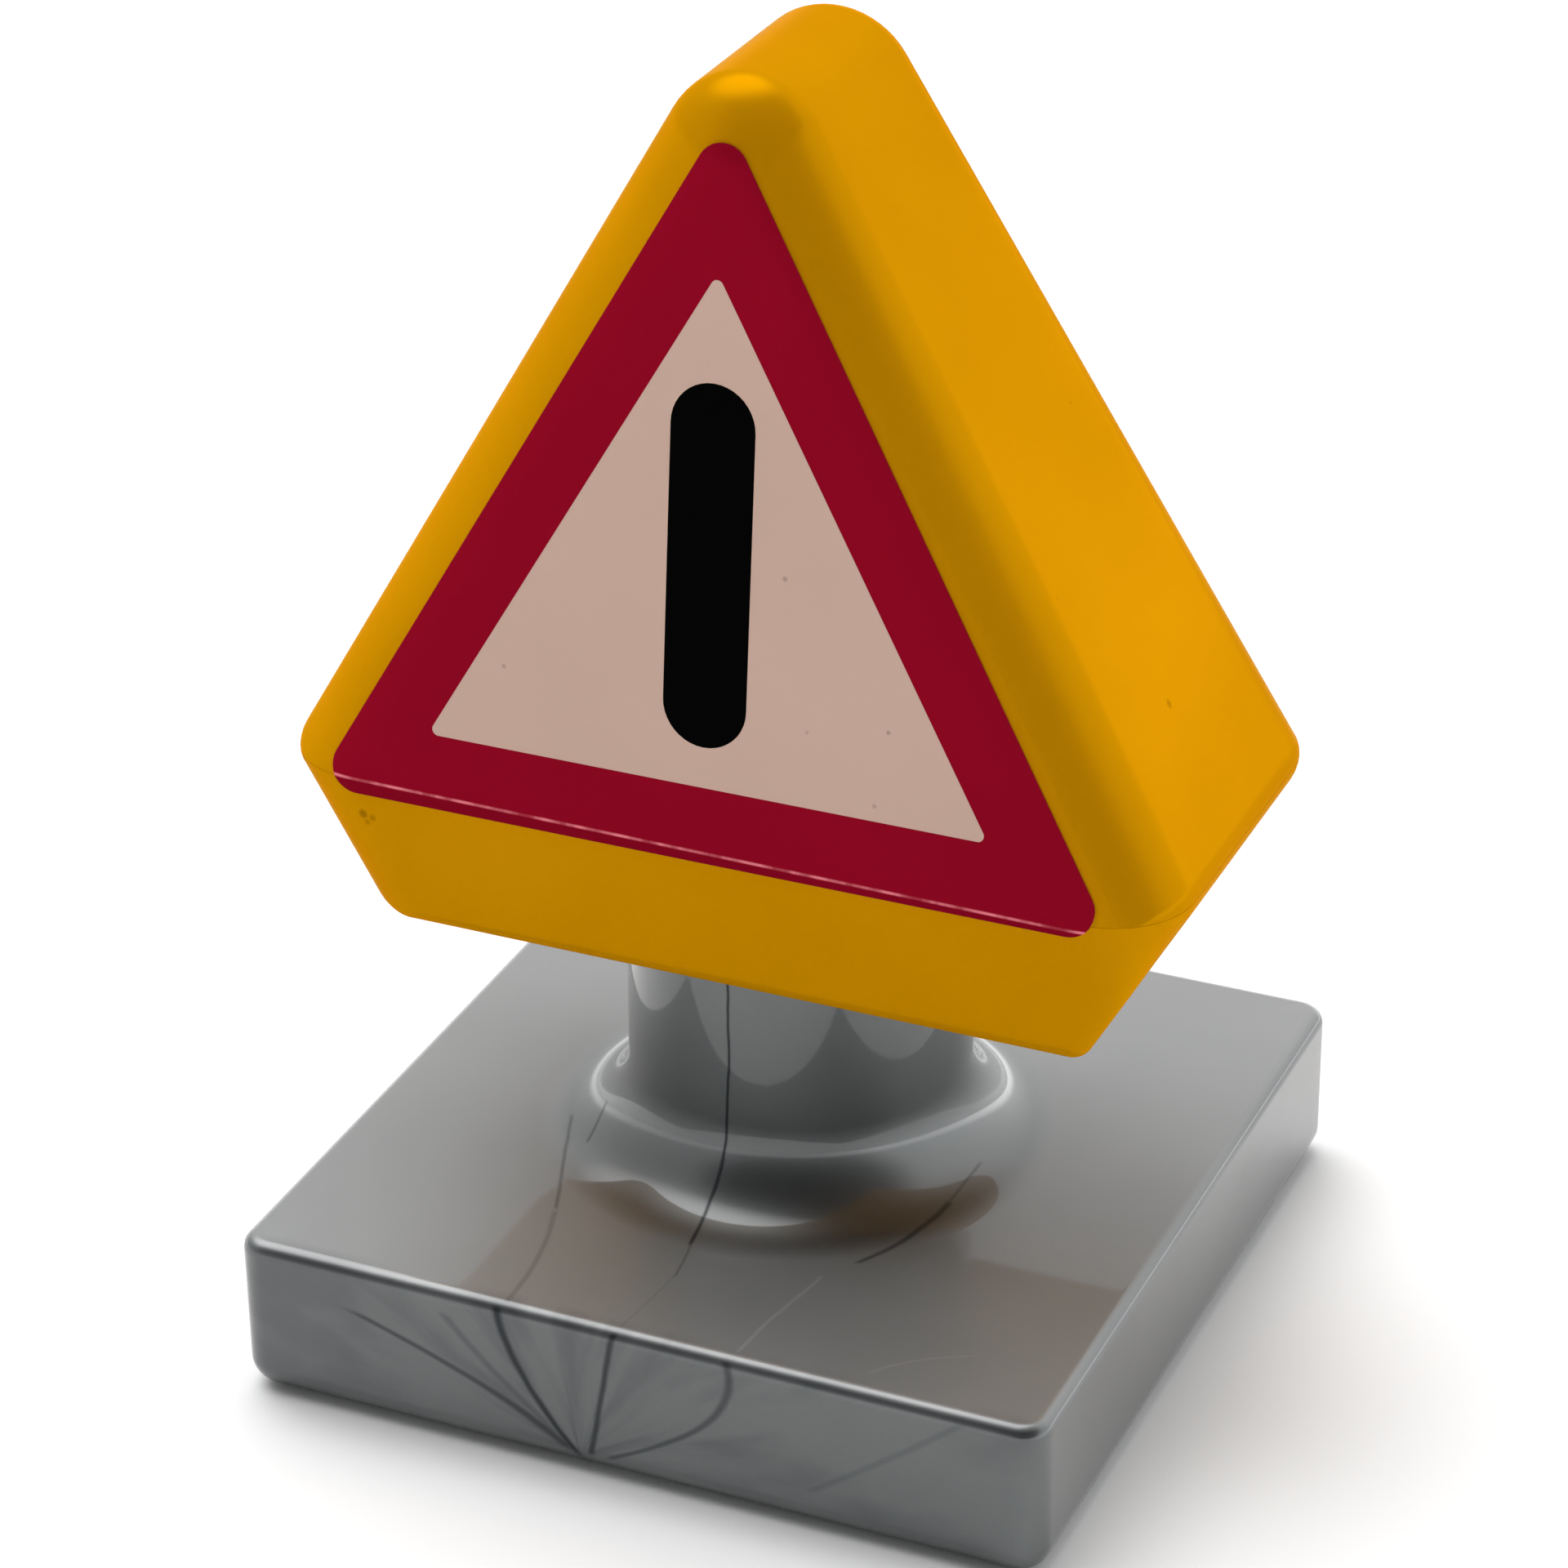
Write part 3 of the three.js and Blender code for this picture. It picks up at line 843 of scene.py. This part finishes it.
# Brightness of the studio round the sign. A place is an azimuth and an elevation, in degrees.
BRIGHT_SIDE = (115, 0)
SIDE_DIM = 0.72
SIDE_BRIGHT = 1.44
DARK_PLACE = (24, 42)
DARK_SPREAD = (36, 60)
CAMERA_SIDE = 0.06
CEILING_PLACE = (-112, 68)
CEILING_SPREAD = (12, 35)
CEILING = 4.0
HORIZON_TOP = (2, 7)  # elevations between which the band at the horizon fades out
HORIZON = 1.35


def direction(azimuth, elevation):
    """Unit vector from the origin towards that side. Azimuth 0 is -Y, and 90 degrees is +X."""
    flat = math.cos(elevation)
    return Vector((math.sin(azimuth) * flat, -math.cos(azimuth) * flat, math.sin(elevation)))


def add_floor():
    corners = [(-1, -1), (1, -1), (1, 1), (-1, 1)]
    floor = new_object("floor", [(x * FLOOR_HALF, y * FLOOR_HALF, 0) for x, y in corners], [(0, 1, 2, 3)])
    nodes = Nodes("floor")
    nodes.link(nodes.mix(nodes.noise(0.3, 2), rgb(0.89, 0.89, 0.89), rgb(0.91, 0.91, 0.91)), "Base Color")
    nodes.set("Roughness", 1.0)
    nodes.set("Specular IOR Level", 0.0)
    floor.data.materials.append(nodes.material)


def add_world():
    """A pale studio: brighter overhead on the left, in a thin band at the horizon and towards the
    sign's back right, and dark on the side from which the sign is looked at."""
    world = bpy.data.worlds.new("studio")
    bpy.context.scene.world = world
    world.use_nodes = True
    tree = world.node_tree
    background = tree.nodes["Background"]
    background.inputs["Color"].default_value = rgb(1.0, 1.0, 1.0)
    place = tree.nodes.new("ShaderNodeTexCoord").outputs["Generated"]

    def link(value, socket):
        if isinstance(value, bpy.types.NodeSocket):
            tree.links.new(value, socket)
        else:
            socket.default_value = value

    def towards(azimuth, elevation):
        node = tree.nodes.new("ShaderNodeVectorMath")
        node.operation = "DOT_PRODUCT"
        tree.links.new(place, node.inputs[0])
        node.inputs[1].default_value = direction(math.radians(azimuth), math.radians(elevation))
        return node.outputs["Value"]

    def fade(value, first, last, to_first, to_last):
        node = tree.nodes.new("ShaderNodeMapRange")
        node.interpolation_type = "SMOOTHSTEP"
        for socket, number in zip(node.inputs, (value, first, last, to_first, to_last)):
            link(number, socket)
        return node.outputs[0]

    def maths(operation, first, second):
        node = tree.nodes.new("ShaderNodeMath")
        node.operation = operation
        link(first, node.inputs[0])
        link(second, node.inputs[1])
        return node.outputs[0]

    def lobe(place_in_degrees, spread, to_inner, to_outer):
        inner, outer = (math.cos(math.radians(angle)) for angle in spread)
        return fade(towards(*place_in_degrees), outer, inner, to_outer, to_inner)

    room = fade(towards(*BRIGHT_SIDE), -1.0, 1.0, SIDE_DIM, SIDE_BRIGHT)
    shaded = maths("MULTIPLY", room, lobe(DARK_PLACE, DARK_SPREAD, CAMERA_SIDE, 1.0))
    ceiling = maths("ADD", shaded, lobe(CEILING_PLACE, CEILING_SPREAD, CEILING, 0.0))
    band = (math.sin(math.radians(elevation)) for elevation in HORIZON_TOP)
    low = fade(towards(0, 90), *band, HORIZON, 0.0)
    link(maths("ADD", ceiling, maths("MULTIPLY", low, room)), background.inputs["Strength"])


def add_camera():
    right = Vector((math.cos(CAMERA_AZIMUTH), math.sin(CAMERA_AZIMUTH), 0))
    back = direction(CAMERA_AZIMUTH, CAMERA_ELEVATION)
    up = back.cross(right)
    across = right * math.cos(CAMERA_ROLL) + up * math.sin(CAMERA_ROLL)
    along = up * math.cos(CAMERA_ROLL) - right * math.sin(CAMERA_ROLL)
    data = bpy.data.cameras.new("camera")
    data.lens = LENS
    data.sensor_width = SENSOR
    data.clip_start = 0.01
    data.clip_end = 20
    camera = bpy.data.objects.new("camera", data)
    side = 2 * BASE_HALF
    spot = (back * CAMERA_DISTANCE + along * CAMERA_RAISE - across * CAMERA_ASIDE) * side
    turn = Matrix((across, along, back)).transposed()
    camera.matrix_world = Matrix.Translation(spot) @ turn.to_4x4()
    bpy.context.scene.collection.objects.link(camera)
    bpy.context.scene.camera = camera


add_floor()
add_world()
add_camera()
bpy.context.scene.view_settings.view_transform = "Standard"
